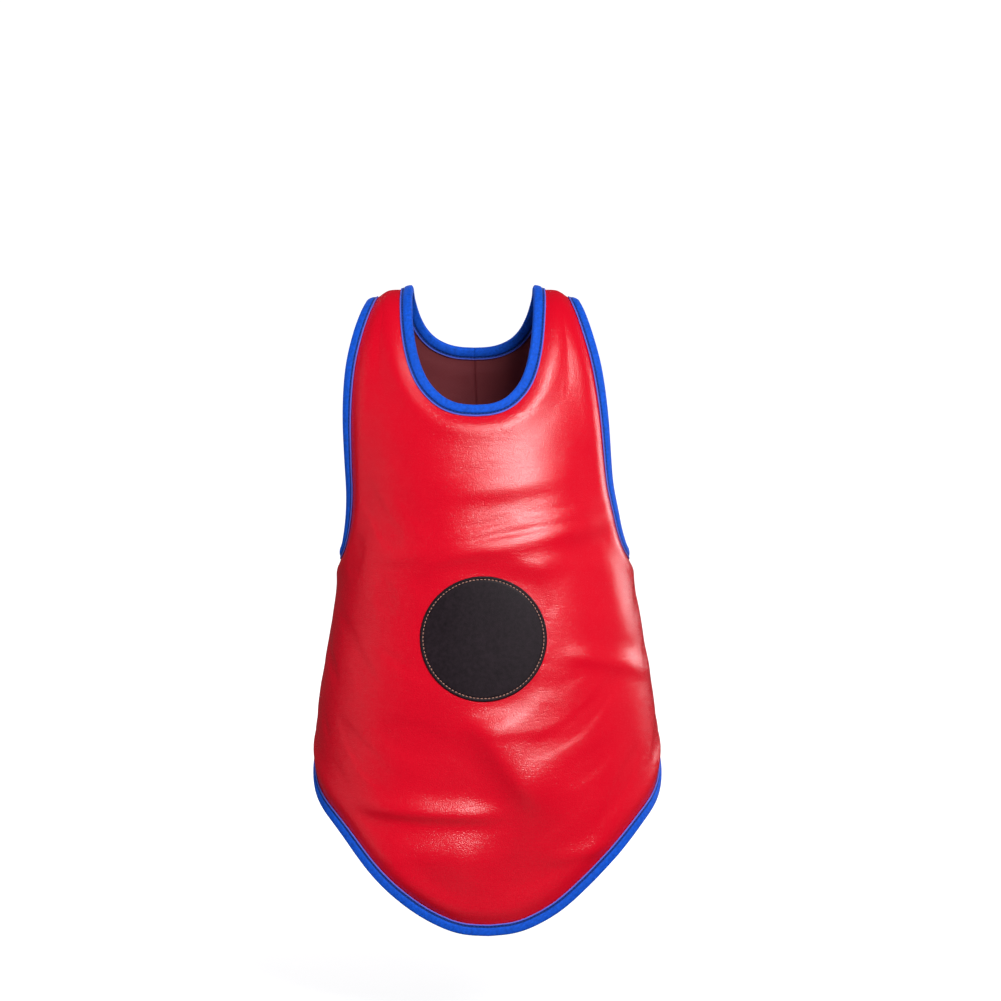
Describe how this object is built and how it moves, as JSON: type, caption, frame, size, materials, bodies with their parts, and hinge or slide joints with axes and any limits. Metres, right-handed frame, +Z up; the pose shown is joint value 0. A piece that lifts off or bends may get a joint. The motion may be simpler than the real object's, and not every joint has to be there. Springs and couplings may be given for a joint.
{
  "type": "fencing vest",
  "caption": "Padded sleeveless fencing vest in its worn form, with a long pointed front, a short back, bound edges and a round target patch on the front.",
  "frame": {"origin": "midway between the shoulder straps, where their undersides rest on the shoulders", "axes": "+Z up, -Y out of the front, +X towards the wearer's left"},
  "size_m": [0.2851, 0.1914, 0.5273],
  "materials": {
    "red_leather": "glossy soft synthetic leather with a fine grain",
    "black_leather": "matt synthetic leather with a fine grain",
    "blue_tape": "woven binding tape with a soft sheen"
  },
  "bodies": {
    "root": {"front_panel": "red_leather", "back_panel_left": "red_leather", "back_panel_right": "red_leather", "back_closure": "red_leather", "target_patch": "black_leather", "hem_binding": "blue_tape", "neck_binding": "blue_tape", "armhole_binding_left": "blue_tape", "armhole_binding_right": "blue_tape"}
  },
  "joints": []
}
